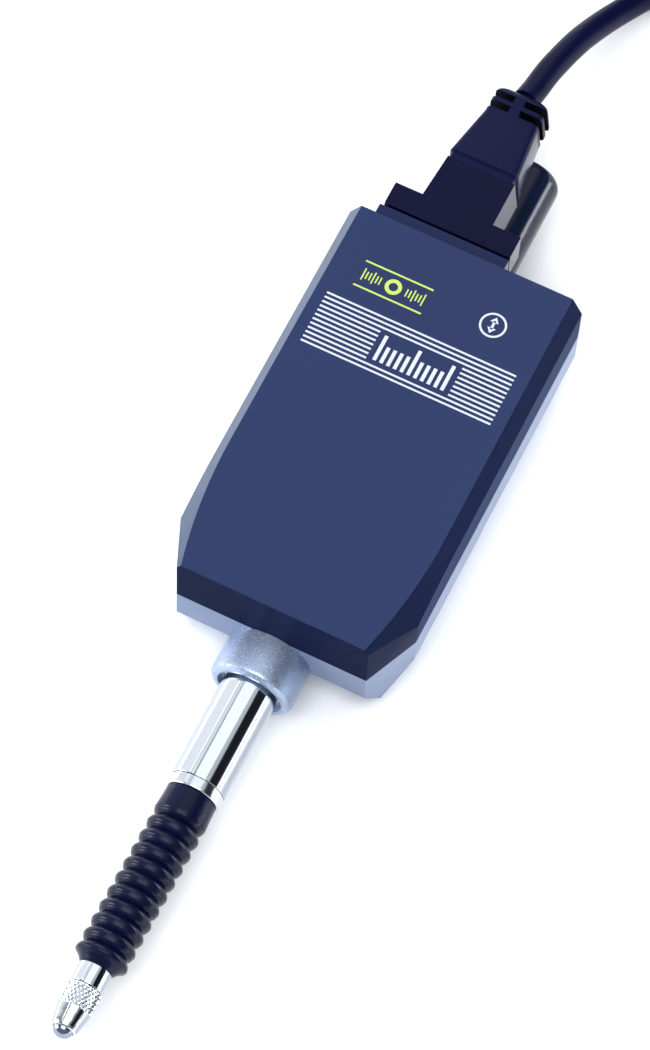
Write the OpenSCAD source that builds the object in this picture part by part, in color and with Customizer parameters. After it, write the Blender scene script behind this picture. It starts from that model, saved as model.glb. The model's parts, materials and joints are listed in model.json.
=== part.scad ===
// Sealed linear gauge head with a 12.7 mm travel.
// Millimetres. The origin is on the stem axis at the end face of the stem boss.
// +Y runs along the spindle towards the rear, +Z out of the printed cover, and the contact tip points to -Y.

/* [Body] */
// Length of the body from its front face to its rear face
body_len = 59.8; // [58:0.2:62]
// Half of the body width
half_w = 17.6; // [17:0.1:18.5]
// Height of the cover top above the spindle axis
top_z = 14.8; // [14.6:0.1:15.6]
// Height of the joint between cover and housing above the spindle axis
part_z = 5.3; // [5.1:0.1:5.5]
// Depth of the flat back below the spindle axis
back_z = 7.2; // [7.1:0.1:8]
// Half of the front face width between the two plan chamfers
front_half = 14.1; // [13.6:0.1:14.6]

/* [Stem and boss] */
// Diameter of the clamping stem
stem_d = 8; // [8:0.5:8]
// Exposed length of the stem from the boss face to the end ring
stem_len = 15.3; // [14:0.1:16]
// Diameter of the stem boss
boss_d = 12; // [11:0.1:13]
// Length of the stem boss in front of the body
boss_len = 6.4; // [6:0.1:7]

/* [Spindle] */
// Diameter of the spindle
spindle_d = 4; // [4:0.1:4]
// Travel of the spindle
travel = 12.7; // [10:0.1:12.7]
// Number of bellows crests
crests = 11; // [9:1:12]
// Diameter of the contact ball
ball_d = 3; // [2.8:0.1:3.2]

/* [Rear end] */
// Diameter of the rear spindle cap
cap_d = 9.5; // [9.3:0.1:10]
// Length of the rear spindle cap
cap_len = 23.3; // [22:0.1:25]

/* [Cable] */
// Diameter of the cable
cable_d = 3.8; // [3.6:0.1:3.8]

/* [Hidden] */
$fn = 96;

yF = boss_len;
yR = boss_len + body_len;
zT = top_z;
zP = part_z;
zB = -back_z;
zL = -0.4;
// plan chamfer between the front corner and the side
ch_y = yF + 8.06;
ch_n = [ch_y - yF, -(half_w - front_half)] / norm([ch_y - yF, half_w - front_half]);
ch_c = ch_n[0] * front_half + ch_n[1] * yF;
// the sloped side facets of the cover
top_half = half_w - 1.6;
facet_k = 0.55;
bow_y = 26;
bow_r = 78;
// cover screws, board screws and plug screws
cs_x = 11.4;
cs_y = [14.6, 58.4];
bs_x = 12.6;
bs_y = [24, 49];
ps_x = [-11.6, 3.3];
ps_z = 10.6;
cav_y0 = 10.4;
cav_y1 = yR - 4;
car_y0 = 17;
car_y1 = 43;
tip_y = -54.5;
cap_y = yR + cap_len;

// the cable's route from its exit to the coil, then the coil and its free end
route = [[-3.9, 94, 10.2], [-3.6, 96.5, 9.5], [-3.3, 100.6, 8.6], [-2.8, 104.9, 7.1], [-2.3, 108.8, 5.4], [-1.7, 112.6, 3.3],
  [-1.0, 116.2, 1.2], [-0.2, 119.7, -0.9], [1.4, 124.6, -3.2], [3.6, 129.2, -4.6], [6.9, 133, -5.2], [11, 136, -5.3], [15.4, 138.1, -5.3]];
coil_x = 9;
coil_y = 162;
coil_mid = 19;
coil_half = 7.6;
coil_top = 8;
function smooth(t) = let (c = min(1, max(0, t))) c * c * (3 - 2 * c);
// the free end leaves the top turn at its left, turns inwards with a radius of 13 and rises onto the coil
tail = concat([for (t = [0:15:90]) [coil_x - 11.7 - 13 * cos(t), coil_y - 13 * sin(t), 6.1 + 5.9 * smooth(t / 80)]], [[coil_x - 10.7, coil_y - 13, 12]]);
plug_at = [coil_x - 10.7, coil_y - 13, coil_top + 4];

// outline of the body in plan, moved inwards by d
function outline(d) = let (c = ch_c - d, x1 = (c - ch_n[1] * (yF + d)) / ch_n[0], w = half_w - d, y2 = (c - ch_n[0] * w) / ch_n[1])
  [[x1, yF + d], [w, y2], [w, yR - d], [-w, yR - d], [-w, y2], [-x1, yF + d]];
module plan(d, z0, z1) translate([0, 0, z0]) linear_extrude(z1 - z0) polygon(outline(d));
// a cylinder along +Y, and a turned shape about the Y axis from points (radius, y)
module ycyl(r, y0, y1, x = 0, z = 0, fn = 96) translate([x, y0, z]) rotate([-90, 0, 0]) cylinder(h = y1 - y0, r = r, $fn = fn);
module yrev(pts, fn = 96) rotate([-90, 0, 0]) rotate_extrude($fn = fn) polygon(pts);
module zcyl(r, z0, z1, x = 0, y = 0, fn = 48) translate([x, y, z0]) cylinder(h = z1 - z0, r = r, $fn = fn);
module box(a, b) translate(a) cube(b - a);

// a tube swept along the points of a path
function unit(v) = v / norm(v);
function sweep_pts(p, r, n) = [for (i = [0:len(p) - 1]) let (
    t = unit(i == 0 ? p[1] - p[0] : i == len(p) - 1 ? p[i] - p[i - 1] : unit(p[i + 1] - p[i]) + unit(p[i] - p[i - 1])),
    s = unit(cross(t, [0, 0, 1])), u = cross(s, t)) for (k = [0:n - 1]) p[i] + r * (cos(360 * (k + 0.5) / n) * s + sin(360 * (k + 0.5) / n) * u)];
function sweep_faces(m, n) = concat([[for (k = [0:n - 1]) k]], [[for (k = [n - 1:-1:0]) (m - 1) * n + k]],
  [for (i = [0:m - 2]) for (k = [0:n - 1]) [i * n + k, (i + 1) * n + k, (i + 1) * n + (k + 1) % n, i * n + (k + 1) % n]]);
module sweep(p, r, n = 8) polyhedron(sweep_pts(p, r, n), sweep_faces(len(p), n));

// die-cast lower housing with the stem boss and a flat back
module lower_housing() color([0.60, 0.67, 0.82]) difference() {
  union() {
    intersection() {
      plan(0, zB, zP);
      // side walls slope inwards below the visible band
      translate([0, yR + 1, 0]) rotate([90, 0, 0]) linear_extrude(yR - yF + 2)
        polygon([[-half_w, zP + 1], [-half_w, zL], [-14.2, zB], [14.2, zB], [half_w, zL], [half_w, zP + 1]]);
      // the front wall slopes back below the visible band
      translate([-half_w - 1, 0, 0]) rotate([90, 0, 90]) linear_extrude(2 * half_w + 2)
        polygon([[yF, zP + 1], [yF, zL], [yF + 4.2, zB], [yR, zB], [yR, zP + 1]]);
      // and so do the two plan chamfers
      for (s = [1]) union() difference() {
        box([-30, 0, zB - 1], [30, 80, zP + 1]);
        for (m = [0, 1]) mirror([m, 0, 0]) translate([front_half, yF, zL]) rotate([0, 0, atan2(ch_y - yF, half_w - front_half)])
          rotate([-35, 0, 0]) translate([-12, -20, -12]) cube([32, 20, 12]);
      }
    }
    yrev([[0, boss_len], [boss_d / 2, boss_len], [boss_d / 2, 0.9], [boss_d / 2 - 0.15, 0.42], [boss_d / 2 - 0.5, 0.1], [boss_d / 2 - 0.9, 0], [0, 0]]);
  }
  // stem bore with the recess round the stem
  ycyl(4.75, -1, 0.9);
  ycyl(4.2, 0, cav_y0 + 0.5);
  // spindle space and the two side pockets
  box([-8.2, cav_y0, -5.2], [8.2, cav_y1, zP + 1]);
  for (s = [-1, 1]) difference() {
    box([min(s * 9.6, s * 15.6), 20, -0.8], [max(s * 9.6, s * 15.6), 53, zP + 1]);
    for (y = bs_y) zcyl(1.7, -2, zP + 2, s * bs_x, y);
  }
  ycyl(3.5, cav_y1 - 1, yR + 1);
  for (s = [-1, 1], y = cs_y) {
    zcyl(1.15, zB - 1, zP + 1, s * cs_x, y);
    zcyl(2.1, zB - 1, -5, s * cs_x, y);
  }
  // gasket groove
  difference() {
    plan(0.7, zP - 0.6, zP + 1);
    plan(1.5, zP - 1, zP + 2);
  }
  for (s = [-1, 1], y = bs_y) zcyl(0.65, 3, zP + 1, s * bs_x, y);
}

// painted cover with two sloped side facets
module top_cover() color([0.20, 0.24, 0.42]) difference() {
  union() {
    difference() {
      intersection() {
        plan(0, zP, zT);
        side_form();
      }
      plan(1.7, zP - 1, 11);
      plan(3.4, 10, 13);
    }
    for (s = [-1, 1], y = cs_y) zcyl(2.4, zP, 13.4, s * cs_x, y);
    for (x = ps_x) ycyl(2, 61.8, yR - 1, x, ps_z);
  }
  for (s = [-1, 1], y = cs_y) zcyl(1, zP - 1, 11.5, s * cs_x, y);
  box([-9.1, yR - 4, 8.4], [0.6, yR + 1, 12.9]);
  for (x = ps_x) ycyl(1, 61.8 - 1, yR + 1, x, ps_z, 48);
}
// straight facets behind, bowed facets towards the front
module side_form() difference() {
  box([-half_w - 1, yF - 1, zP - 1], [half_w + 1, yR + 1, zT]);
  for (m = [0, 1]) mirror([m, 0, 0]) {
    translate([0, yR + 2, 0]) rotate([90, 0, 0]) linear_extrude(yR + 2 - bow_y)
      polygon([[top_half, zT], [top_half - facet_k, zT + 1], [half_w + 3, zT + 1], [half_w + 3, zT - (half_w + 3 - top_half) / facet_k]]);
    difference() {
      box([8, yF - 2, zP - 2], [half_w + 3, bow_y, zT + 1]);
      translate([top_half - bow_r, bow_y, zP - 3]) cylinder(h = zT - zP + 5, r1 = bow_r + facet_k * (zT - zP + 3), r2 = bow_r - facet_k * 2, $fn = 240);
    }
  }
}

module cover_gasket() color([0.06, 0.06, 0.08]) difference() {
  plan(0.75, zP - 0.55, zP);
  plan(1.45, zP - 1, zP + 1);
}

// four socket screws that hold the cover from the back
module cover_screws() color([0.6, 0.6, 0.62]) for (s = [-1, 1], y = cs_y) difference() {
  union() {
    zcyl(1.9, -6.8, -5, s * cs_x, y);
    zcyl(0.98, -5, 11, s * cs_x, y);
  }
  zcyl(0.87, -7.2, -5.8, s * cs_x, y, 6);
}

// ground stem tube
module stem() color([0.86, 0.86, 0.88]) difference() {
  union() {
    ycyl(stem_d / 2, -stem_len, 0);
    ycyl(3.8, 0, 0.9);
    ycyl(4.2, 0.9, 12.4);
  }
  ycyl(3.4, -stem_len - 1, 13);
}

// slotted ring nut on the inner end of the stem
module stem_nut() color([0.62, 0.62, 0.64]) difference() {
  ycyl(5, cav_y0, 12.4);
  ycyl(4.2, cav_y0 - 1, 13);
  for (a = [0, 90]) rotate([0, a, 0]) box([-6, 11.6, -0.6], [6, 13, 0.6]);
}

// ring that closes the stem and carries the bellows
module stem_end_ring() color([0.80, 0.80, 0.83]) yrev([[2.3, -stem_len + 0.6], [3.4, -stem_len + 0.6], [3.4, -stem_len], [3.8, -stem_len],
  [3.8, -stem_len - 1.5], [3.65, -stem_len - 1.7], [2.9, -stem_len - 1.7], [2.9, -stem_len - 3.6], [2.3, -stem_len - 3.6]]);

module bearing_sleeve() color([0.5, 0.5, 0.52]) difference() {
  ycyl(3.4, -stem_len + 0.6, 12);
  ycyl(3, -stem_len, 13);
}

// four staggered rows of six balls
ball_rows = [for (i = [0:3], j = [0:5]) [-10 + 3.2 * i, 60 * j + 30 * (i % 2)]];
module ball_cage() color([0.72, 0.58, 0.30]) difference() {
  ycyl(2.88, -12, 1.6);
  ycyl(2.12, -13, 3);
  for (b = ball_rows) translate([0, b[0], 0]) rotate([0, b[1], 0]) cylinder(h = 4, r = 0.53, $fn = 24);
}
module bearing_balls() color([0.8, 0.8, 0.82]) for (b = ball_rows)
  translate([0, b[0], 0]) rotate([0, b[1], 0]) translate([0, 0, 2.5]) sphere(r = 0.49, $fn = 24);

module extension_bumper() color([0.08, 0.08, 0.09]) difference() {
  ycyl(3.6, 12.4, 13.4);
  ycyl(2.4, 12, 14);
}

// rubber bellows, turned outline with a plain collar and a tail that grips the spindle
bel_y0 = -stem_len - 1.7;
bel_y1 = -44.1;
crest_y0 = -20.4;
crest_p = 22.1 / (crests - 1);
module bellows() color([0.10, 0.10, 0.16]) yrev(concat(
  [[2.95, bel_y0], [3.65, bel_y0]],
  [for (i = [0:crests - 1], k = [0:1]) let (y = crest_y0 - crest_p * i) k == 0 ? [3.65, y] : [i == crests - 1 ? 2.55 : 2.9, y - crest_p / 2]],
  [[2.5, bel_y1], [2.05, bel_y1], [2.05, bel_y1 + 0.7]],
  [for (i = [crests - 1:-1:0], k = [0:1]) let (y = crest_y0 - crest_p * i) k == 0 ? [3.2, y] : [2.45, y + crest_p / 2]],
  [[2.95, -stem_len - 3.7]]), 64);

module spindle() color([0.84, 0.84, 0.86]) difference() {
  union() {
    ycyl(spindle_d / 2, bel_y1, 68);
    yrev([[0, -46.8], [2.1, -46.8], [2.25, -46.65], [2.25, -44.25], [2.1, -44.1], [0, -44.1]]);
  }
  ycyl(1.2, -47, -42, 0, 0, 48);
}

// knurled contact point with its stud
module contact_point() color([0.82, 0.82, 0.85]) difference() {
  yrev([[0, -42.2], [1.2, -42.2], [1.2, -46.8], [2.2, -46.8], [2.4, -47], [2.4, -50.1], [2.25, -50.25], [1.75, -53], [0, -53]]);
  translate([0, tip_y + ball_d / 2, 0]) sphere(d = ball_d, $fn = 64);
}
module contact_ball() color([0.75, 0.76, 0.80]) translate([0, tip_y + ball_d / 2, 0]) sphere(d = ball_d, $fn = 64);

module stop_collar() color([0.6, 0.6, 0.62]) difference() {
  ycyl(2.85, 13.45, car_y0 - 0.1);
  ycyl(spindle_d / 2, 13, 18);
}

// block clamped on the spindle; it carries the scale and is kept from turning by the rail
module scale_carrier() color([0.70, 0.71, 0.74]) difference() {
  box([-4.6, car_y0, -4.2], [4.6, car_y1, 6.5]);
  ycyl(spindle_d / 2, car_y0 - 1, car_y1 + 1);
  box([-1.05, car_y0 - 1, -5], [1.05, car_y1 + 1, -2.8]);
  box([-5, car_y0 - 1, -0.3], [0, car_y1 + 1, 0.3]);
  for (y = [car_y0 + 5, car_y1 - 5]) zcyl(0.8, -5, 3.4, -3.2, y, 32);
  for (y = [car_y0 + 5, car_y1 - 5]) zcyl(1.3, -5, -2.6, -3.2, y, 32);
}
module carrier_screws() color([0.35, 0.35, 0.37]) for (y = [car_y0 + 5, car_y1 - 5]) difference() {
  union() {
    zcyl(1.25, -4.1, -2.6, -3.2, y, 32);
    zcyl(0.78, -2.6, 3, -3.2, y, 32);
  }
  zcyl(0.6, -5, -3.3, -3.2, y, 6);
}
module encoder_scale() color([0.75, 0.85, 0.85]) box([-4.4, car_y0 + 0.2, 6.5], [4.4, car_y1 - 0.2, 7.1]);
module guide_rail() color([0.66, 0.66, 0.68]) box([-1, 15.5, -5.2], [1, 60.5, -3]);

// compression spring between the carrier and the rear bush
sp_y0 = car_y1 + 0.4;
sp_y1 = cav_y1 - 1.4;
sp_n = 6;
spring_path = [for (i = [0:sp_n * 14]) let (a = 360 * i / 14) [2.75 * cos(a), 2.75 * sin(a), (sp_y1 - sp_y0) * i / (sp_n * 14)]];
function spring_pts(p, r, n) = [for (i = [0:len(p) - 1]) let (e = unit([p[i][0], p[i][1], 0])) for (k = [0:n - 1])
    p[i] + r * (cos(360 * k / n) * e + [0, 0, sin(360 * k / n)])];
module return_spring() color([0.7, 0.7, 0.72]) translate([0, sp_y0, 0]) rotate([-90, 0, 0])
  polyhedron(spring_pts(spring_path, 0.3, 6), sweep_faces(len(spring_path), 6));

module rear_bush() color([0.72, 0.55, 0.28]) difference() {
  union() {
    ycyl(4.4, cav_y1 - 1, cav_y1);
    ycyl(3.5, cav_y1, yR + 3.5);
  }
  ycyl(2.05, cav_y1 - 2, yR + 4);
}

// closed rear cap that covers the end of the spindle
module spindle_cap() color([0.11, 0.11, 0.18]) yrev([[4.35, yR], [cap_d / 2, yR], [cap_d / 2, cap_y - 1.9], [cap_d / 2 - 0.15, cap_y - 1.2],
  [cap_d / 2 - 0.6, cap_y - 0.55], [cap_d / 2 - 1.2, cap_y - 0.15], [cap_d / 2 - 1.9, cap_y], [0, cap_y], [0, cap_y - 3], [3.5, cap_y - 3], [3.5, yR + 0.9], [4.35, yR + 0.9]]);
module cap_o_ring() color([0.05, 0.05, 0.06]) translate([0, yR + 0.45, 0]) rotate([-90, 0, 0]) rotate_extrude($fn = 64) translate([3.93, 0]) circle(r = 0.42, $fn = 24);

module sensor_board() color([0.10, 0.35, 0.22]) difference() {
  box([-15.2, 18.2, 8.2], [15.2, 55, 9.2]);
  for (s = [-1, 1], y = bs_y) zcyl(0.9, 7, 10, s * bs_x, y);
}
module read_head() color([0.85, 0.86, 0.88]) box([-6, 22, 7.3], [6, 38, 8.2]);
module board_chips() color([0.08, 0.08, 0.09]) {
  box([-5, 26, 9.2], [5, 36, 10.5]);
  box([-9.5, 41, 9.2], [-4.5, 47, 10.2]);
  box([3, 41, 9.2], [8, 44, 10.1]);
  for (i = [0:4]) box([-13.2 + 1.9 * i, 50.5, 9.2], [-12.2 + 1.9 * i, 52.5, 9.9]);
}
module board_standoff(s, y) difference() {
  zcyl(1.7, -0.8, 8.2, s * bs_x, y);
  zcyl(0.65, 3, 9, s * bs_x, y);
}
module board_screws() color([0.7, 0.7, 0.72]) for (s = [-1, 1], y = bs_y) difference() {
  union() {
    zcyl(1.4, 9.2, 10.2, s * bs_x, y, 32);
    zcyl(0.62, 4.4, 9.2, s * bs_x, y, 32);
  }
  box([s * bs_x - 1.1, y - 0.2, 9.75], [s * bs_x + 1.1, y + 0.2, 11]);
}
module flex_strip() color([0.80, 0.55, 0.20]) translate([-8, 0, 0]) rotate([90, 0, 90]) linear_extrude(7.5)
  polygon([[53.5, 9.2], [56, 9.2], [58.4, 10.5], [60.5, 10.5], [60.5, 10.75], [58.3, 10.75], [55.9, 9.45], [53.5, 9.45]]);

pin_x = [for (i = [-2:2]) -4.25 + 1.6 * i];
module connector_socket() color([0.12, 0.12, 0.18]) difference() {
  union() {
    box([-14.2, yR, 7.6], [5.5, yR + 2.1, 13.6]);
    box([-9, 60.5, 8.5], [0.5, yR, 12.8]);
  }
  for (x = pin_x) ycyl(0.3, 60, yR + 3, x, 10.65, 24);
  for (x = ps_x) ycyl(1.05, yR - 1, yR + 3, x, ps_z, 48);
}
module socket_pins() color([0.85, 0.70, 0.30]) for (x = pin_x) ycyl(0.3, 60.6, yR + 4.4, x, 10.65, 24);
module connector_gasket() color([0.03, 0.03, 0.04]) difference() {
  box([-13.2, yR + 2.1, 8.4], [4.8, yR + 2.6, 12.7]);
  for (x = pin_x) ycyl(0.35, yR + 2, yR + 3, x, 10.65, 24);
  for (x = ps_x) ycyl(1.1, yR + 2, yR + 3, x, ps_z, 48);
}
// plug with a screwed flange and a tapering tower
module plug_body() color([0.12, 0.12, 0.20]) difference() {
  union() {
    box([-13.7, yR + 2.6, 7.8], [5.4, yR + 6.2, 13.4]);
    intersection() {
      translate([0, 0, 7.8]) linear_extrude(5.6) polygon([[-9.6, yR + 6.2], [2, yR + 6.2], [1.9, yR + 13.3], [-9.1, yR + 13.3]]);
      translate([0, yR + 13.3, 0]) rotate([90, 0, 0]) linear_extrude(7.1) polygon([[-10, 7.8], [1.85, 7.8], [1.12, 13.4], [-10, 13.4]]);
    }
  }
  for (x = pin_x) ycyl(0.35, yR + 2, yR + 4.8, x, 10.65, 24);
  for (x = ps_x) {
    ycyl(1.05, yR + 2, yR + 7, x, ps_z, 48);
    ycyl(1.6, yR + 4.7, yR + 7, x, ps_z, 48);
  }
}
module plug_screws() color([0.62, 0.62, 0.64]) for (x = ps_x) difference() {
  union() {
    ycyl(1.5, yR + 4.7, yR + 6.1, x, ps_z, 48);
    ycyl(0.98, 62.6, yR + 4.7, x, ps_z, 48);
  }
  translate([x, yR + 5.2, ps_z]) rotate([-90, 0, 0]) cylinder(h = 2, r = 0.8, $fn = 6);
}
// strain relief moulded on the cable, with two pairs of slots beside a solid spine
om_x = -3.9;
om_z = 10.4;
module plug_overmold() color([0.13, 0.13, 0.20]) difference() {
  union() {
    box([-8.9, yR + 13.3, 7.9], [0.9, yR + 14.5, 13.3]);
    intersection() {
      translate([0, 0, 6]) linear_extrude(9) polygon([[-9.3, yR + 14.5], [1.3, yR + 14.5], [0.4, 88.8], [0.4, 92.5], [-0.2, 93.4], [-1.3, 94], [-6.1, 94], [-7.1, 93.4], [-7.7, 92.5], [-7.8, 88.8]]);
      translate([-10, 0, 0]) rotate([90, 0, 90]) linear_extrude(13) polygon([[yR + 14.5, 7.2], [92.3, 7.6], [93.4, 8], [94, 8.7], [94, 12.1], [93.4, 12.8], [92.3, 13.2], [yR + 14.5, 13.7]]);
    }
  }
  for (y = [89.7, 91.45]) {
    box([-10, y, 6], [om_x - 0.7, y + 0.9, 15]);
    box([om_x + 0.6, y, 6], [3, y + 0.9, 15]);
  }
}

// free cable, its coil and its free end
module cable() color([0.10, 0.10, 0.14]) sweep(route, cable_d / 2);
module cable_coil() color([0.10, 0.10, 0.14]) translate([coil_x, coil_y, 0]) rotate_extrude($fn = 72)
  polygon([[coil_mid - coil_half, -6.2], [coil_mid - coil_half + 1, zB], [coil_mid + coil_half - 1, zB], [coil_mid + coil_half, -6.2],
    [coil_mid + coil_half, 7], [coil_mid + coil_half - 1, 8], [coil_mid - coil_half + 1, 8], [coil_mid - coil_half, 7]]);
module cable_tail() color([0.10, 0.10, 0.14]) sweep(tail, cable_d / 2);
module coil_tie() color([0.15, 0.15, 0.17]) translate([coil_x, coil_y, 0]) rotate([0, 0, 90]) difference() {
  box([coil_mid - coil_half - 0.8, -2.5, zB], [coil_mid + coil_half + 0.8, 2.5, coil_top + 0.8]);
  box([coil_mid - coil_half, -3, zB + 0.8], [coil_mid + coil_half, 3, coil_top]);
}
// flat box plug on the free end, lying on the coil with its nose to +X
module far_plug_boot() color([0.12, 0.12, 0.14]) translate(plug_at) rotate([0, 90, 0]) cylinder(h = 6, r1 = 2.5, r2 = 3.4, $fn = 48);
module far_plug() color([0.14, 0.14, 0.16]) translate(plug_at) difference() {
  union() {
    box([6, -8, -4], [30, 8, 4]);
    box([30, -6.6, -3], [36, 6.6, 3]);
  }
  box([31, -5.4, -1.7], [37, 5.4, 1.7]);
  box([33, -1.6, -3.4], [37, 1.6, -1.6]);
}
module far_plug_contacts() color([0.85, 0.70, 0.30]) translate(plug_at) for (i = [-2:2], z = [-0.65, 0.65])
  box([31, 1.9 * i - 0.3, z - 0.15], [35.4, 1.9 * i + 0.3, z + 0.15]);

module lower_housing_full() {
  lower_housing();
  color([0.60, 0.67, 0.82]) for (s = [-1, 1], y = bs_y) board_standoff(s, y);
}

lower_housing_full();  // lower_housing
top_cover();
cover_gasket();
cover_screws();
stem();
stem_nut();
stem_end_ring();
bearing_sleeve();
ball_cage();
bearing_balls();
extension_bumper();
bellows();
spindle();
contact_point();
contact_ball();
stop_collar();
scale_carrier();
carrier_screws();
encoder_scale();
guide_rail();
return_spring();
rear_bush();
spindle_cap();
cap_o_ring();
sensor_board();
read_head();
board_chips();
board_screws();
flex_strip();
connector_socket();
socket_pins();
connector_gasket();
plug_body();
plug_screws();
plug_overmold();
cable();
cable_coil();
cable_tail();
coil_tie();
far_plug_boot();
far_plug();
far_plug_contacts();
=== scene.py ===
import json
import math
import bmesh
import bpy
from mathutils import Matrix, Vector


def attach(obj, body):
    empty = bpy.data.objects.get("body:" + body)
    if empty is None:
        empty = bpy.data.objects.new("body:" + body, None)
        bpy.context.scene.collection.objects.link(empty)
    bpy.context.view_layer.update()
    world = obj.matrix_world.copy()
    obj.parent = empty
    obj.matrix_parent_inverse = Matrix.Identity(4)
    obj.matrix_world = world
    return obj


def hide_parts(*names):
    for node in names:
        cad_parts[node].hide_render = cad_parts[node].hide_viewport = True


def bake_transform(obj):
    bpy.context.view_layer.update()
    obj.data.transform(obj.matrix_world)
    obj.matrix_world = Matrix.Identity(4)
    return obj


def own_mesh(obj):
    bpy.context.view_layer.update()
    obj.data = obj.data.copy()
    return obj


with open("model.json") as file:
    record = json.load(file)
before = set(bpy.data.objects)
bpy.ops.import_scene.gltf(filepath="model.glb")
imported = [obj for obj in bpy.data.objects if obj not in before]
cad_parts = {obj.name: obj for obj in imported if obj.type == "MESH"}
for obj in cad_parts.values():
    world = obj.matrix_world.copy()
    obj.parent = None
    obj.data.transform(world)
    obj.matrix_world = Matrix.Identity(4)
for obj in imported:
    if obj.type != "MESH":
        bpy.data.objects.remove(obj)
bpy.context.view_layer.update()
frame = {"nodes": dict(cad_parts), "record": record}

NODES = frame["nodes"]
MM = 0.001


# ---------------------------------------------------------------- camera
def camera():
    az, el, roll = (math.radians(x) for x in (22.476, 64.581, 4.019))
    back = Vector((math.sin(az) * math.cos(el), -math.cos(az) * math.cos(el), math.sin(el)))
    right = Vector((math.cos(az), math.sin(az), 0))
    up = back.cross(right)
    r0 = math.cos(roll) * right + math.sin(roll) * up
    r1 = -math.sin(roll) * right + math.cos(roll) * up
    at = (7.366 * r0 + 17.249 * r1 + 630.71 * back + Vector((0, 6.4, 0))) * MM
    data = bpy.data.cameras.new("camera")
    data.sensor_width = 36
    data.lens = 160.93
    data.clip_start, data.clip_end = 0.05, 20
    cam = bpy.data.objects.new("camera", data)
    bpy.context.scene.collection.objects.link(cam)
    cam.matrix_world = Matrix(((r0.x, r1.x, back.x, at.x), (r0.y, r1.y, back.y, at.y), (r0.z, r1.z, back.z, at.z), (0, 0, 0, 1)))
    bpy.context.scene.camera = cam


camera()


# ---------------------------------------------------------------- materials
# painted reflection: turned metal is painted darker toward both flanks, down to about half, by which way the surface
# faces: (place from -X to +X, factor)
FLANKS_PAINTED_REFLECTION = [(0.0, 0.66), (0.09, 0.72), (0.2, 1.0), (0.86, 1.0), (0.9, 0.78), (0.94, 0.52), (0.975, 0.56), (1.0, 0.8)]


def material(name, base, rough=0.4, metal=0.0, vary=0.06, vary_scale=90, bump=0.02, bump_scale=2500, rough_vary=0.03,
             rough_scale=2400, coat=0.0, coat_rough=0.1, spec=0.5, sheen=0.0, stretch=(1, 1, 1), aniso=0.0, distance=0.0001, band=(0.3, 0.7), top=1.0, painted_flank_shade=None):
    """A finish with slight colour drift, uneven roughness and a fine surface grain, all from object coordinates; an
    optional table paints shade into the base colour by which way the surface faces along X.
    """
    m = bpy.data.materials.new(name)
    m.use_nodes = True
    t = m.node_tree
    n, l = t.nodes, t.links
    p = n["Principled BSDF"]
    p.inputs["Metallic"].default_value = metal
    p.inputs["Specular IOR Level"].default_value = spec
    p.inputs["Coat Weight"].default_value = coat
    p.inputs["Coat Roughness"].default_value = coat_rough
    p.inputs["Sheen Weight"].default_value = sheen
    p.inputs["Anisotropic"].default_value = aniso
    tc = n.new("ShaderNodeTexCoord")
    mp = n.new("ShaderNodeMapping")
    mp.inputs["Scale"].default_value = stretch
    l.new(tc.outputs["Object"], mp.inputs["Vector"])
    a = n.new("ShaderNodeTexNoise")
    a.inputs["Scale"].default_value = vary_scale
    a.inputs["Detail"].default_value = 4
    l.new(tc.outputs["Object"], a.inputs["Vector"])
    ramp = n.new("ShaderNodeValToRGB")
    ramp.color_ramp.elements[0].position, ramp.color_ramp.elements[1].position = band
    ramp.color_ramp.elements[0].color = [c * (1 - vary) for c in base[:3]] + [1]
    ramp.color_ramp.elements[1].color = [min(1, c * (1 + vary) * top) for c in base[:3]] + [1]
    l.new(a.outputs["Fac"], ramp.inputs["Fac"])
    colour = ramp.outputs["Color"]
    # painted shade: the base colour is multiplied down by a ramp on the surface normal's X
    if painted_flank_shade:
        xyz = n.new("ShaderNodeSeparateXYZ")
        l.new(tc.outputs["Normal"], xyz.inputs["Vector"])
        side = n.new("ShaderNodeMapRange")
        side.inputs["From Min"].default_value, side.inputs["From Max"].default_value = -1, 1
        l.new(xyz.outputs["X"], side.inputs["Value"])
        shade = n.new("ShaderNodeValToRGB")
        stops = shade.color_ramp.elements
        while len(stops) < len(painted_flank_shade):
            stops.new(0.5)
        for stop, (at, k) in zip(stops, painted_flank_shade):
            stop.position = at
            stop.color = (k ** 1.1, k, k ** 0.85, 1)
        l.new(side.outputs["Result"], shade.inputs["Fac"])
        mix = n.new("ShaderNodeVectorMath")
        mix.operation = "MULTIPLY"
        l.new(colour, mix.inputs[0])
        l.new(shade.outputs["Color"], mix.inputs[1])
        colour = mix.outputs["Vector"]
    l.new(colour, p.inputs["Base Color"])
    b = n.new("ShaderNodeTexNoise")
    b.inputs["Scale"].default_value = rough_scale
    b.inputs["Detail"].default_value = 5
    l.new(mp.outputs["Vector"], b.inputs["Vector"])
    mr = n.new("ShaderNodeMapRange")
    mr.inputs["From Min"].default_value, mr.inputs["From Max"].default_value = 0.3, 0.7
    mr.inputs["To Min"].default_value, mr.inputs["To Max"].default_value = max(0.0, rough - rough_vary), min(1, rough + rough_vary)
    l.new(b.outputs["Fac"], mr.inputs["Value"])
    l.new(mr.outputs["Result"], p.inputs["Roughness"])
    c = n.new("ShaderNodeTexNoise")
    c.inputs["Scale"].default_value = bump_scale
    c.inputs["Detail"].default_value = 3
    l.new(mp.outputs["Vector"], c.inputs["Vector"])
    bp = n.new("ShaderNodeBump")
    bp.inputs["Strength"].default_value = bump
    bp.inputs["Distance"].default_value = distance
    l.new(c.outputs["Fac"], bp.inputs["Height"])
    l.new(bp.outputs["Normal"], p.inputs["Normal"])
    return m


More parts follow.
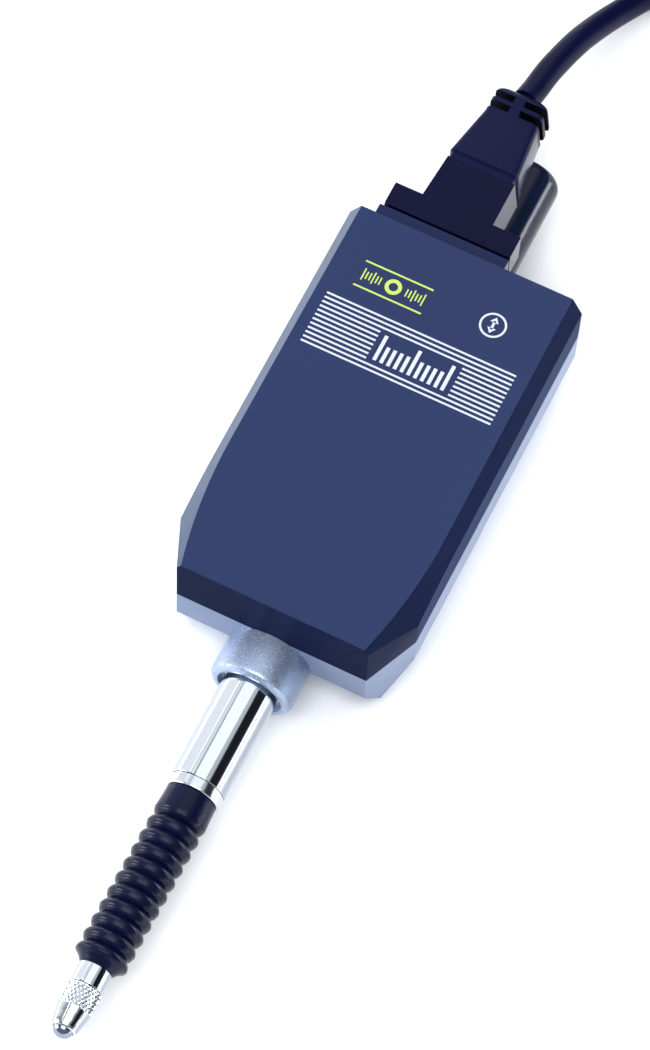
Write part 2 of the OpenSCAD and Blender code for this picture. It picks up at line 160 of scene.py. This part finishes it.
M = {
    "cover": material("cover_paint", (0.0138, 0.0262, 0.091), rough=0.3, bump=0.006, bump_scale=4200, vary=0.04, vary_scale=45, rough_vary=0.01, spec=0.2, distance=0.00005),
    # lit and shaded copies of the cover paint, one per face direction: side faces painted darker with almost no
    # reflection (painted shade), the right face lighter than the other sides and without reflection (painted light),
    # the left facet lighter and glossier (painted highlight)
    "cover_side_painted_shade": material("cover_paint_sides_painted_shade", (0.0068, 0.0112, 0.037), rough=0.3, bump=0.03, bump_scale=4200, vary=0.06, vary_scale=60, spec=0.004, distance=0.00005),
    "cover_right_painted_light": material("cover_paint_right_painted_light", (0.016, 0.028, 0.075), rough=0.35, bump=0.03, bump_scale=4200, vary=0.06, vary_scale=60, spec=0.002, distance=0.00005),
    "cover_left_painted_highlight": material("cover_paint_left_painted_highlight", (0.022, 0.047, 0.105), rough=0.3, bump=0.006, bump_scale=4200, vary=0.05, vary_scale=60, rough_vary=0.01, spec=0.125, distance=0.00005),
    "housing": material("housing_paint", (0.17, 0.224, 0.35), rough=0.36, bump=0.06, bump_scale=3800, vary=0.03, vary_scale=50, spec=0.2, distance=0.00005),
    # painted shade: the boss is painted darker where it faces +X, down to half, and a little where it faces -X
    "boss": material("boss_cast_painted_side_shade", (0.39, 0.475, 0.645), rough=0.33, metal=0.75, vary=0.06, vary_scale=4600, bump=0.4, bump_scale=5600, rough_vary=0.12, rough_scale=5000, distance=0.0001, band=(0.56, 0.7), top=1.5, painted_flank_shade=[(0.0, 0.9), (0.2, 1.0), (0.76, 1.0), (0.83, 0.8), (0.88, 0.6), (0.95, 0.5), (1.0, 0.62)]),
    # painted reflection: the stem steel is painted darker toward both flanks
    "steel": material("polished_steel", (0.72, 0.745, 0.78), rough=0.085, metal=1.0, vary=0.015, bump=0.01, bump_scale=6000, rough_vary=0.02, stretch=(1, 0.15, 1), distance=0.00005, painted_flank_shade=FLANKS_PAINTED_REFLECTION),
    "ring": material("ring_steel", (0.66, 0.69, 0.75), rough=0.17, metal=1.0, vary=0.03, bump=0.03, bump_scale=5000, stretch=(1, 6, 1), distance=0.00005),
    # painted reflection: the contact chrome is painted darker toward both flanks
    "chrome": material("contact_chrome", (0.70, 0.725, 0.77), rough=0.12, metal=1.0, vary=0.03, bump=0.02, bump_scale=5000, distance=0.00005, painted_flank_shade=FLANKS_PAINTED_REFLECTION),
    "carbide": material("carbide", (0.3, 0.33, 0.43), rough=0.1, metal=1.0, vary=0.03, bump=0.01),
    "screw": material("screw_steel", (0.42, 0.42, 0.44), rough=0.32, metal=1.0, vary=0.06, bump=0.08, bump_scale=4000, rough_vary=0.1),
    "bearing": material("bearing_steel", (0.6, 0.6, 0.62), rough=0.2, metal=1.0, vary=0.03, bump=0.03),
    "brass": material("brass", (0.62, 0.43, 0.17), rough=0.28, metal=1.0, vary=0.06, bump=0.05),
    "alu": material("milled_aluminium", (0.70, 0.71, 0.73), rough=0.3, metal=1.0, vary=0.04, bump=0.1, bump_scale=1500, stretch=(1, 0.1, 1)),
    "spring": material("spring_wire", (0.55, 0.55, 0.57), rough=0.25, metal=1.0, vary=0.04, bump=0.05),
    "rubber": material("bellows_rubber", (0.0028, 0.004, 0.024), rough=0.26, bump=0.12, bump_scale=4200, vary=0.15, vary_scale=400, spec=0.17, distance=0.00006),
    "black_rubber": material("black_rubber", (0.012, 0.012, 0.015), rough=0.6, bump=0.15, bump_scale=3000, vary=0.1),
    "plastic": material("navy_plastic", (0.003, 0.0036, 0.024), rough=0.3, bump=0.06, bump_scale=4200, vary=0.1, vary_scale=120, spec=0.07, distance=0.00006),
    # painted highlight: a lighter, glossier copy of the navy plastic for faces that look toward +X
    "plastic_side_painted_highlight": material("navy_plastic_sides_painted_highlight", (0.004, 0.006, 0.03), rough=0.17, bump=0.08, bump_scale=4200, vary=0.1, vary_scale=120, spec=0.32, distance=0.00006),
    "socket": material("socket_paint", (0.011, 0.019, 0.066), rough=0.3, bump=0.06, bump_scale=4200, vary=0.05, vary_scale=80, spec=0.1, distance=0.00005),
    # the gasket is a real black part, painted darker than rubber to stand for the shade in the gap around it (painted
    # shade)
    "gap": material("gasket_black_painted_gap_shade", (0.0008, 0.0008, 0.002), rough=0.6, bump=0.1, bump_scale=3000, vary=0.1, spec=0.05),
    # painted shade: near-black for the faces inside the overmold slots
    "slots": material("overmold_slots_painted_shade", (0.0007, 0.0007, 0.003), rough=0.6, bump=0.1, bump_scale=3000, vary=0.1, spec=0.05),
    "overmold": material("overmold_rubber", (0.0042, 0.0055, 0.034), rough=0.34, bump=0.1, bump_scale=4200, vary=0.1, vary_scale=120, spec=0.08, distance=0.00006),
    "cap": material("cap_plastic", (0.0055, 0.0095, 0.027), rough=0.1, rough_vary=0.015, bump=0.03, bump_scale=4000, vary=0.1, spec=0.22, distance=0.00005),
    "cable": material("cable_jacket", (0.0025, 0.0033, 0.026), rough=0.4, bump=0.1, bump_scale=4000, vary=0.12, spec=0.07, distance=0.00006),
    "white_ink": material("white_ink", (0.62, 0.65, 0.74), rough=0.5, bump=0.05, bump_scale=4000, vary=0.03, vary_scale=800),
    "green_ink": material("green_ink", (0.52, 0.66, 0.11), rough=0.5, bump=0.05, bump_scale=4000, vary=0.06, vary_scale=600),
    "board": material("board_green", (0.02, 0.12, 0.05), rough=0.3, bump=0.3, bump_scale=700, vary=0.3, vary_scale=500),
    "chip": material("chip_black", (0.02, 0.02, 0.022), rough=0.55, bump=0.15, bump_scale=5000),
    "ceramic": material("ceramic_white", (0.75, 0.75, 0.72), rough=0.4, bump=0.05),
    "glass": material("scale_glass", (0.55, 0.68, 0.68), rough=0.08, bump=0.02, spec=0.6),
    "flex": material("flex_amber", (0.45, 0.2, 0.03), rough=0.3, bump=0.1),
    "gold": material("gold_contact", (0.83, 0.6, 0.2), rough=0.2, metal=1.0, bump=0.03),
    "tie": material("tie_fabric", (0.02, 0.02, 0.023), rough=0.85, bump=0.8, bump_scale=5000, sheen=0.3),
}
BY_SLOT = {"housing_paint": "housing", "cover_paint": "cover", "black_rubber": "black_rubber", "screw_steel": "screw", "polished_steel": "steel",
           "satin_ring": "ring", "bearing_steel": "bearing", "brass": "brass", "bellows_rubber": "rubber", "contact_chrome": "chrome",
           "carbide": "carbide", "bare_aluminium": "alu", "scale_glass": "glass", "spring_steel": "spring", "black_plastic": "plastic",
           "board_green": "board", "ceramic_white": "ceramic", "chip_black": "chip", "flex_amber": "flex", "navy_plastic": "plastic",
           "gold_contact": "gold", "overmold_rubber": "overmold", "cable_jacket": "cable", "tie_plastic": "tie"}
SLOT_OF = {s["node"]: s["material_slot"] for s in frame["record"]["subparts"]}
OWN = {"connector_socket": "socket", "connector_gasket": "gap"}
for name, o in NODES.items():
    m = M[OWN.get(name, BY_SLOT[SLOT_OF[name]])]
    if o.material_slots:
        for s in o.material_slots:
            s.link = "OBJECT"
            s.material = m
    else:
        o.data.materials.append(m)


# ---------------------------------------------------------------- mesh helpers
def finish_mesh(name, bm, mat, body, sharp=32, blend=False):
    bmesh.ops.recalc_face_normals(bm, faces=bm.faces)
    me = bpy.data.meshes.new(name)
    bm.to_mesh(me)
    bm.free()
    me.polygons.foreach_set("use_smooth", [True] * len(me.polygons))
    me.set_sharp_from_angle(angle=math.radians(sharp))
    me.materials.append(mat)
    o = bpy.data.objects.new(name, me)
    bpy.context.scene.collection.objects.link(o)
    if not blend:
        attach(o, body)
    return o


def fillet(pts, steps=5):
    """A closed outline of (a, b) or (a, b, radius) points with its corners rounded."""
    out = []
    k = len(pts)
    for i, p in enumerate(pts):
        if len(p) < 3 or p[2] <= 0:
            out.append((p[0], p[1]))
            continue
        c, a, b = Vector(p[:2]), Vector(pts[i - 1][:2]), Vector(pts[(i + 1) % k][:2])
        u, v = (a - c), (b - c)
        r = min(p[2], 0.49 * u.length, 0.49 * v.length)
        u.normalize(), v.normalize()
        s, e = c + u * r, c + v * r
        for j in range(steps + 1):
            t = j / steps
            q = (1 - t) ** 2 * s + 2 * t * (1 - t) * c + t ** 2 * e
            out.append((q.x, q.y))
    return out


def lathe(name, pts, mat, body, segs=128, sharp=32, blend=False, lean=lambda y: 0.0):
    """Turns a closed outline of (radius, y) in millimetres about the Y axis."""
    bm = bmesh.new()
    rings = []
    for r, y in pts:
        if r < 1e-6:
            rings.append([bm.verts.new((lean(y) * MM, y * MM, 0))])
        else:
            ring = []
            for k in range(segs):
                a = 2 * math.pi * k / segs
                ring.append(bm.verts.new(((lean(y) + r * math.sin(a)) * MM, y * MM, r * math.cos(a) * MM)))
            rings.append(ring)
    for i in range(len(rings)):
        a, b = rings[i], rings[(i + 1) % len(rings)]
        if len(a) == 1 and len(b) == 1:
            continue
        for k in range(segs):
            j = (k + 1) % segs
            if len(a) == 1:
                bm.faces.new((a[0], b[k], b[j]))
            elif len(b) == 1:
                bm.faces.new((a[k], b[0], a[j]))
            else:
                bm.faces.new((a[k], b[k], b[j], a[j]))
    return finish_mesh(name, bm, mat, body, sharp, blend)


def bevel(node, width, segments=3, angle=28):
    """Softens the edges of a CAD node with modifiers; its own mesh stays."""
    o = NODES[node]
    w = o.modifiers.new("weld", "WELD")
    w.merge_threshold = 0.000002
    b = o.modifiers.new("bevel", "BEVEL")
    b.width = width * MM
    b.segments = segments
    b.limit_method = "ANGLE"
    b.angle_limit = math.radians(angle)
    b.miter_outer = "MITER_ARC"
    b.use_clamp_overlap = True
    b.harden_normals = False
    n = o.modifiers.new("normals", "WEIGHTED_NORMAL")
    n.keep_sharp = False
    n.weight = 100
    return o


# ---------------------------------------------------------------- cable
ROUTE = [(-3.9, 94, 10.2), (-3.6, 96.5, 9.5), (-3.3, 100.6, 8.6), (-2.8, 104.9, 7.1), (-2.3, 108.8, 5.4), (-1.7, 112.6, 3.3),
         (-1.0, 116.2, 1.2), (-0.2, 119.7, -0.9), (1.4, 124.6, -3.2), (3.6, 129.2, -4.6), (6.9, 133, -5.2), (11, 136, -5.3), (15.4, 138.1, -5.3)]
COIL = (9.0, 162.0)
COLUMNS = [24.7, 20.9, 17.1, 13.3]


def smooth(t):
    t = min(1.0, max(0.0, t))
    return t * t * (3 - 2 * t)


def cable_points():
    pts = [Vector(p) for p in ROUTE]
    step = 12
    turn = 0
    for layer in range(4):
        cols = COLUMNS if layer % 2 == 0 else COLUMNS[::-1]
        for k in range(4):
            last = layer == 3 and k == 3
            for a in range(step, 361, step):
                if last and a > 255:
                    break
                r, z = cols[k], -5.3 + 3.8 * layer
                t = smooth((a - 320) / 40)
                if not last:
                    if k < 3:
                        r += (cols[k + 1] - cols[k]) * t
                    else:
                        z += 3.8 * t
                ang = math.radians(-75 + a)
                pts.append(Vector((COIL[0] + r * math.cos(ang), COIL[1] + r * math.sin(ang), z)))
            turn += 1
    for t in range(15, 91, 15):
        c = math.radians(t)
        pts.append(Vector((COIL[0] - 11.7 - 13 * math.cos(c), COIL[1] - 13 * math.sin(c), 6.1 + 5.9 * smooth(t / 80))))
    pts.append(Vector((COIL[0] - 10.7, COIL[1] - 13, 12)))
    return [p * MM for p in pts]


def cable():
    pts = cable_points()
    cu = bpy.data.curves.new("cable_run", "CURVE")
    cu.dimensions = "3D"
    cu.resolution_u = 3
    cu.bevel_depth = 1.9 * MM
    cu.bevel_resolution = 6
    cu.use_fill_caps = True
    s = cu.splines.new("BEZIER")
    s.bezier_points.add(len(pts) - 1)
    for i, p in enumerate(pts):
        a, b = pts[max(0, i - 1)], pts[min(len(pts) - 1, i + 1)]
        t = (b - a).normalized()
        q = s.bezier_points[i]
        q.handle_left_type = q.handle_right_type = "FREE"
        q.co = p
        q.handle_left = p - t * (p - a).length / 3
        q.handle_right = p + t * (b - p).length / 3
    o = bpy.data.objects.new("cable_run", cu)
    bpy.context.scene.collection.objects.link(o)
    cu.materials.append(M["cable"])
    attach(o, "housing")
    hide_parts("cable", "cable_coil", "cable_tail")
    long = sum((pts[i + 1] - pts[i]).length for i in range(len(pts) - 1))
    print("cable length", round(long, 4))
    return o


cable()

# ---------------------------------------------------------------- turned pieces
def lean(y):
    """The bellows and the tip stand a hair to the left in the photo."""
    return -0.28 * smooth((-19 - y) / 24)


o = lathe("stem_tube", fillet([(3.4, -15.3), (4.0, -15.3, 0.1), (4.0, 0), (3.9, 0.02), (3.9, 0.9), (4.2, 0.9), (4.2, 12.4, 0.2), (3.4, 12.4)]), M["steel"], "housing")
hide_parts("stem")
o = lathe("end_ring", fillet([(2.3, -14.7), (3.4, -14.7), (3.4, -15.36), (3.86, -15.36, 0.06), (3.88, -17.0, 0.3), (2.9, -17.0), (2.9, -18.9), (2.3, -18.9)]), M["ring"], "housing")
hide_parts("stem_end_ring")


def bellows():
    first, pitch, n = -20.4, 2.21, 11
    rc, rv, wall = 3.76, 2.98, 0.42
    outer = fillet([(2.95, -17.03), (3.6, -17.03, 0.2), (3.66, -18.9), (rc, -20.3)], 5)[:-1]
    steps = 22
    line = []
    for i in range(int((n - 0.82) * steps) + 1):
        y = first - pitch * i / steps
        f = ((first - y) / pitch + 0.5) % 1 - 0.5
        c = abs(math.cos(math.pi * f)) ** 0.8
        dent = 0.09 * max(0.0, 1 - abs(f - 0.14) / 0.07) if 0.05 < f < 0.23 else 0.0
        line.append((rv + (rc - rv) * c - dent, y))
    ends = []
    r1, y1 = line[-1]
    for t in (0.15, 0.35, 0.55, 0.75, 1.0):
        ends.append((r1 + (2.42 - r1) * t ** 0.7, y1 + (-44.02 - y1) * t))
    outer += line + ends + [(2.34, -44.1), (2.06, -44.1), (2.06, -43.6)]
    inner = [(max(2.35, r - wall), y) for r, y in line[::-1][6:]]
    outer += inner + [(2.95, -19.2)]
    o = lathe("bellows_skin", outer, M["rubber"], "housing", segs=112, sharp=50, blend=True, lean=lean)
    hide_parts("bellows")
    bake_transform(o)
    return o


bellows()
o = lathe("spindle_rod", fillet([(0, -42.0), (1.2, -42.0), (1.2, -46.98), (2.38, -46.98, 0.14), (2.38, -44.1, 0.15), (2.0, -44.1), (2.0, -40), (2.0, -34), (2.0, -28), (2.0, -22), (2.0, -18), (2.0, 68, 0.3), (0, 68)]), M["steel"], "spindle", segs=96, lean=lean)
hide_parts("spindle")


def contact():
    """Knurled band, then a smooth taper to the ball seat."""
    segs, y0, y1, rows, depth, count = 288, -47.12, -50.34, 64, 0.22, 24
    bm = bmesh.new()
    rings = [[bm.verts.new((-0.28 * MM, -42.2 * MM, 0))]]

    def ring(y, radius):
        rings.append([bm.verts.new(((-0.28 + radius(2 * math.pi * k / segs) * math.sin(2 * math.pi * k / segs)) * MM, y * MM, radius(2 * math.pi * k / segs) * math.cos(2 * math.pi * k / segs) * MM)) for k in range(segs)])

    ring(-42.2, lambda a: 1.19)
    ring(-47.0, lambda a: 1.19)
    ring(-47.0, lambda a: 2.06)
    ring(-47.06, lambda a: 2.18)
    lead = 0.9
    for i in range(rows + 1):
        t = i / rows
        y = y0 + (y1 - y0) * t
        edge = smooth(t / 0.06) * smooth((1 - t) / 0.06)
        r0 = 2.47 - 0.02 * t

        def radius(a, y=y, edge=edge, r0=r0):
            u, v = a * count / (2 * math.pi), (y - y0) / lead
            p = abs(((u + v) % 1) * 2 - 1)
            q = abs(((u - v) % 1) * 2 - 1)
            h = min(1, 1.5 * min(p, q))
            return r0 - 0.13 * (1 - edge) - depth * (1 - h) * edge

        ring(y, radius)
    knots = [(-50.42, 2.38), (-51.0, 2.27), (-51.5, 2.17), (-52.0, 2.075), (-52.5, 1.98), (-52.9, 1.885), (-53.1, 1.815), (-53.22, 1.74), (-53.3, 1.64), (-53.32, 1.53)]
    for (ya, ra), (yb, rb) in zip(knots, knots[1:]):
        for k in range(3):
            ring(ya + (yb - ya) * k / 3, lambda a, r=ra + (rb - ra) * k / 3: r)
    ring(-53.32, lambda a: 1.53)
    ring(-53.1, lambda a: 1.47)
    rings.append([bm.verts.new((-0.28 * MM, -52.6 * MM, 0))])
    for i in range(len(rings) - 1):
        a, b = rings[i], rings[i + 1]
        for k in range(segs):
            j = (k + 1) % segs
            if len(a) == 1:
                bm.faces.new((a[0], b[k], b[j]))
            elif len(b) == 1:
                bm.faces.new((a[k], b[0], a[j]))
            else:
                bm.faces.new((a[k], b[k], b[j], a[j]))
    o = finish_mesh("contact_body", bm, M["chrome"], "spindle", 24)
    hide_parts("contact_point")
    ball = [(0.0 if i in (0, 32) else 1.5 * math.sin(math.pi * i / 32), -53.0 - 1.5 * math.cos(math.pi * i / 32)) for i in range(33)]
    o = lathe("tip_ball", ball, M["carbide"], "spindle", segs=64, sharp=80, lean=lean)
    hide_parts("contact_ball")


contact()
o = lathe("rear_cap", fillet([(4.35, 66.22), (4.75, 66.22, 0.15), (4.75, 89.5, 1.9), (0, 89.5), (0, 86.5), (3.5, 86.5), (3.5, 67.1), (4.35, 67.1)], 10), M["cap"], "housing", sharp=40)
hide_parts("spindle_cap")


def spring():
    """The return spring's wire, made in the place of the hidden CAD node."""
    node = NODES["return_spring"]
    ys = [(node.matrix_world @ v.co).y / MM for v in node.data.vertices]
    wire, r, turns, per = 0.3, 2.75, 6, 28
    y0, y1 = min(ys) + wire, max(ys) - wire
    bm = bmesh.new()
    rings = []
    for i in range(turns * per + 1):
        a, y = 2 * math.pi * i / per, y0 + (y1 - y0) * i / (turns * per)
        ring = []
        for k in range(10):
            b = 2 * math.pi * k / 10
            q = r + wire * math.cos(b)
            ring.append(bm.verts.new((q * math.cos(a) * MM, (y + wire * math.sin(b)) * MM, -q * math.sin(a) * MM)))
        rings.append(ring)
    for a, b in zip(rings, rings[1:]):
        for k in range(10):
            bm.faces.new((a[k], b[k], b[(k + 1) % 10], a[(k + 1) % 10]))
    bm.faces.new(rings[0])
    bm.faces.new(rings[-1][::-1])
    o = finish_mesh("spring_wire", bm, M["spring"], "housing", 50)
    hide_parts("return_spring")
    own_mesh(o)


spring()


# ---------------------------------------------------------------- strain relief
def overmold():
    """Rounded sections along Y, wider at the foot: neck, tapering body, two slots beside a spine, rounded end; the
    faces inside the slots are painted near-black as painted shade, and the flat +X side of the body gets the painted
    highlight plastic.
    """
    st = []

    def at(y, x0, x1, z0, z1, r, foot=0.0, dark=False):
        st.append((y, (x1 - x0) / 2, (z1 - z0) / 2, (x0 + x1) / 2, (z0 + z1) / 2, r, foot, dark))

    def body(y, d=0.0, r=0.9, dark=False):
        t = min(1.0, (y - 80.7) / 8.3)
        at(y, -9.3 + 1.5 * t + d, 0.95 - 0.9 * t - d, 7.2 + 0.4 * t + d, 13.7 - 0.5 * t - d, r, 0.75, dark)

    at(79.5, -8.9, 0.75, 7.9, 13.3, 0.4, 0.5)
    at(80.45, -8.9, 0.75, 7.9, 13.3, 0.4, 0.5)
    at(80.52, -9.0, 0.8, 7.8, 13.38, 0.5, 0.6)
    body(80.6, 0.12, 0.6)
    for y in (80.72, 81.2, 82, 83.5, 85, 86.5, 88, 89.0, 89.55):
        body(y)
    for y in (89.6, 91.35):
        body(y, 0.06, dark=True)
        at(y + 0.02, -4.85, -3.05, 7.75, 13.16, 0.2, dark=True)
        at(y + 1.0, -4.85, -3.05, 7.75, 13.14, 0.2, dark=True)
        body(y + 1.02, 0.06)
        body(y + 1.08)
        if y < 91:
            body(91.3)
    for y, d in ((92.8, 0.1), (93.1, 0.3), (93.45, 0.65), (93.72, 1.1), (93.9, 1.6), (94.0, 2.0)):
        body(y, d, 0.9 + 0.2 * d)
    bm = bmesh.new()
    rings = []
    for y, hx, hz, x0, z0, r, foot, dark in st:
        r = min(r, hx * 0.99, hz * 0.99)
        ring = []
        for qx, qz, a0 in ((1, 1, 0), (-1, 1, 90), (-1, -1, 180), (1, -1, 270)):
            for k in range(7):
                a = math.radians(a0 + 90 * k / 6)
                x, z = x0 + qx * (hx - r) + r * math.cos(a), z0 + qz * (hz - r) + r * math.sin(a)
                if x > x0:
                    x += foot * (z0 + hz - z) / (2 * hz)
                ring.append(bm.verts.new((x * MM, y * MM, z * MM)))
        rings.append(ring)
    n = len(rings[0])
    for i, (a, b) in enumerate(zip(rings, rings[1:])):
        spine = st[i][7] and st[i + 1][7] and st[i + 1][0] - st[i][0] > 0.5
        for k in range(n):
            f = bm.faces.new((a[k], b[k], b[(k + 1) % n], a[(k + 1) % n]))
            top = 6 <= k <= 6 or k in (5, 7)
            # slot faces get the painted shade material; a strip on the +X side of the body gets the painted highlight
            # plastic
            f.material_index = 1 if st[i][7] and not (spine and top) else 2 if k == n - 1 and 81 < st[i][0] < 88.5 else 0
    bm.faces.new(rings[0])
    bm.faces.new(rings[-1][::-1])
    o = finish_mesh("strain_relief", bm, M["overmold"], "housing", 40)
    o.data.materials.append(M["slots"])
    o.data.materials.append(M["plastic_side_painted_highlight"])
    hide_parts("plug_overmold")


overmold()

# ---------------------------------------------------------------- CAD pieces with softened edges
bevel("top_cover", 0.28, 4)
bevel("lower_housing", 0.3, 3)
bevel("connector_socket", 0.2, 3)
bevel("plug_body", 0.35, 4)
bevel("connector_gasket", 0.08, 2)
bevel("far_plug", 0.5, 3)
bevel("coil_tie", 0.2, 2)
for name in ("far_plug_boot", "plug_screws", "cover_screws", "stop_collar", "scale_carrier", "stem_nut"):
    bevel(name, 0.08, 2)
h = NODES["lower_housing"]
h.data.materials.append(M["boss"])
h.material_slots[-1].link = "OBJECT"
h.material_slots[-1].material = M["boss"]
for p in h.data.polygons:
    if p.center.y < 0.00635:
        p.material_index = len(h.material_slots) - 1


def add_slot(o, mat):
    o.data.materials.append(M[mat])
    o.material_slots[-1].link = "OBJECT"
    o.material_slots[-1].material = M[mat]
    return len(o.material_slots) - 1


# faces are sorted by direction onto the painted shade, painted light and painted highlight copies of the cover paint
c = NODES["top_cover"]
side, right, left = (add_slot(c, k) for k in ("cover_side_painted_shade", "cover_right_painted_light", "cover_left_painted_highlight"))
for p in c.data.polygons:
    if p.normal.z < 0.95:
        p.material_index = right if p.normal.x > 0.97 else side if p.normal.x > -0.3 else left
# faces looking toward +X get the painted highlight copy of the plastic
for name in ("plug_body", "connector_socket"):
    c = NODES[name]
    side = add_slot(c, "plastic_side_painted_highlight")
    for p in c.data.polygons:
        if p.normal.x > 0.7:
            p.material_index = side


# ---------------------------------------------------------------- print on the cover
TOP = 14.8


def ink(name, boxes, mat):
    """Thin raised ink: each box is (x0, y0, x1, y1) on the cover's top, or four corner points."""
    bm = bmesh.new()
    z0, z1 = (TOP - 0.01) * MM, (TOP + 0.02) * MM
    for b in boxes:
        c = [(b[0], b[1]), (b[2], b[1]), (b[2], b[3]), (b[0], b[3])] if len(b) == 4 and not isinstance(b[0], tuple) else list(b)
        lo_v = [bm.verts.new((x * MM, y * MM, z0)) for x, y in c]
        hi_v = [bm.verts.new((x * MM, y * MM, z1)) for x, y in c]
        bm.faces.new(lo_v[::-1])
        bm.faces.new(hi_v)
        for i in range(len(c)):
            j = (i + 1) % len(c)
            bm.faces.new((lo_v[i], lo_v[j], hi_v[j], hi_v[i]))
    o = finish_mesh(name, bm, mat, "housing", 30)
    return o


stripes = []
for i in range(12):
    y = 43.85 + 0.737 * i
    if 2 <= i <= 8:
        stripes += [(-14.3, y - 0.14, -5.2, y + 0.14), (7.1, y - 0.14, 14.1, y + 0.14)]
    else:
        stripes += [(-14.3, y - 0.14, 14.1, y + 0.14)]
ink("cover_stripes", stripes, M["white_ink"])
bars = []
for i in range(11):
    x = -4.1 + 1.01 * i
    tall = 4.1 if i % 5 == 0 else 2.6
    bars.append((x - 0.26, 45.5, x + 0.26, 45.5 + tall))
ink("cover_bars", bars, M["white_ink"])


def annulus(x, y, r0, r1, n=40):
    return [(((x + r0 * math.cos(a), y + r0 * math.sin(a)), (x + r1 * math.cos(a), y + r1 * math.sin(a)),
              (x + r1 * math.cos(b), y + r1 * math.sin(b)), (x + r0 * math.cos(b), y + r0 * math.sin(b))))
            for a, b in ((2 * math.pi * k / n, 2 * math.pi * (k + 1) / n) for k in range(n))]


ticks = [(-11.7, 58.62, -1.5, 58.88), (-11.7, 54.6, -1.5, 54.86)]
for i in range(19):
    x = -11.1 + 0.5 * i
    if abs(x + 6.6) < 1.6:
        continue
    tall = 1.9 if i % 3 == 0 else 1.2
    ticks.append((x - 0.1, 56.74 - tall / 2, x + 0.1, 56.74 + tall / 2))
ink("cover_scale", ticks + annulus(-6.6, 56.74, 0.65, 1.2), M["green_ink"])
ax, ay = 8.0, 57.6
arrow = [((ax - 0.18, ay - 0.7), (ax + 0.18, ay - 0.7), (ax + 0.18, ay + 0.7), (ax - 0.18, ay + 0.7)),
         ((ax - 0.62, ay + 0.45), (ax + 0.62, ay + 0.45), (ax, ay + 1.3)), ((ax + 0.62, ay - 0.45), (ax - 0.62, ay - 0.45), (ax, ay - 1.3))]
ink("cover_arrow", arrow + annulus(ax, ay, 1.62, 1.92, 48), M["white_ink"])


# ---------------------------------------------------------------- floor, light
def stage():
    def quad(name, size, at):
        m = bpy.data.meshes.new(name)
        m.from_pydata([(i * size[0] / 2, j * size[1] / 2, 0) for i, j in ((-1, -1), (1, -1), (1, 1), (-1, 1))], [], [(0, 1, 2, 3)])
        o = bpy.data.objects.new(name, m)
        bpy.context.scene.collection.objects.link(o)
        o.location = at
        return o

    floor = quad("floor", (4, 4), (0, 0, -0.0072))
    m = material("floor_white", (0.95, 0.95, 0.955), rough=0.8, bump=0.02, bump_scale=200, vary=0.01)
    floor.data.materials.append(m)
    w = bpy.data.worlds.new("studio")
    w.use_nodes = True
    w.node_tree.nodes["Background"].inputs["Color"].default_value = (0.84, 0.91, 1.0, 1)
    w.node_tree.nodes["Background"].inputs["Strength"].default_value = 0.38
    bpy.context.scene.world = w
    heart = Vector((0, 0.03, 0))

    def aim(o, look=heart):
        z = (Vector(o.location) - Vector(look)).normalized()
        x = Vector((0, 1, 0)).cross(z).normalized()
        y = z.cross(x)
        o.rotation_mode = "QUATERNION"
        o.rotation_quaternion = Matrix((x, y, z)).transposed().to_quaternion()

    def ring_point(psi, far, y=0.397):
        """A point on the cone of directions that cylinders along Y mirror to the camera; psi is the angle from straight up to +X."""
        p, k = math.radians(psi), math.sqrt(1 - y * y)
        return heart + Vector((math.sin(p) * k, y, math.cos(p) * k)) * far

    def soft(name, at, size, power, colour=(1, 1, 1)):
        d = bpy.data.lights.new(name, "AREA")
        d.shape = "RECTANGLE"
        d.size, d.size_y = size
        d.energy = power
        d.color = colour
        o = bpy.data.objects.new(name, d)
        bpy.context.scene.collection.objects.link(o)
        o.location = at
        aim(o)
        return o

    cool = (0.94, 0.975, 1)
    soft("left_box", ring_point(-66, 0.8), (0.68, 0.9), 1.45, cool)
    soft("mid_box", ring_point(-36, 1.0), (0.34, 1.05), 0.68, cool)
    soft("top_box", ring_point(1, 0.8), (0.65, 0.9), 1.85, cool)
    soft("edge_box", ring_point(31, 1.0), (0.2, 1.05), 0.2, cool)
    soft("strip", ring_point(83, 0.8), (0.09, 0.9), 0.9, cool)
    soft("cap_strip", Vector((0.12, 0.12, 0.004)), (0.018, 0.07), 0.05, cool)
    soft("left_low", heart + Vector((-0.60, -0.34, 0.17)), (0.3, 0.3), 3.4, cool)
    soft("key", heart + Vector((0.03, -0.38, 0.92)) * 1.15, (0.8, 0.6), 9)
    soft("rear", heart + Vector((-0.3, 0.85, 0.45)) * 0.95, (0.5, 0.4), 1.8)
    d = soft("left_floor", (-0.17, 0.03, 0.2), (0.1, 0.3), 0.6)
    d.rotation_quaternion = (1, 0, 0, 0)
    d.data.spread = math.radians(70)
    d = soft("right_floor", (0.125, 0.02, 0.2), (0.06, 0.34), 0.62)
    d.rotation_quaternion = (1, 0, 0, 0)
    d.data.spread = math.radians(56)

    def card(name, at, size):
        f = quad(name, size, at)
        aim(f)
        f.data.materials.append(material(name + "_black", (0.012, 0.014, 0.019), rough=0.9))
        return f

    card("right_card", ring_point(57.5, 2.7), (1.64, 5.1))


stage()
v = bpy.context.scene.view_settings
v.view_transform = "Standard"
v.look = "None"
v.exposure = 0.0

bpy.context.view_layer.update()
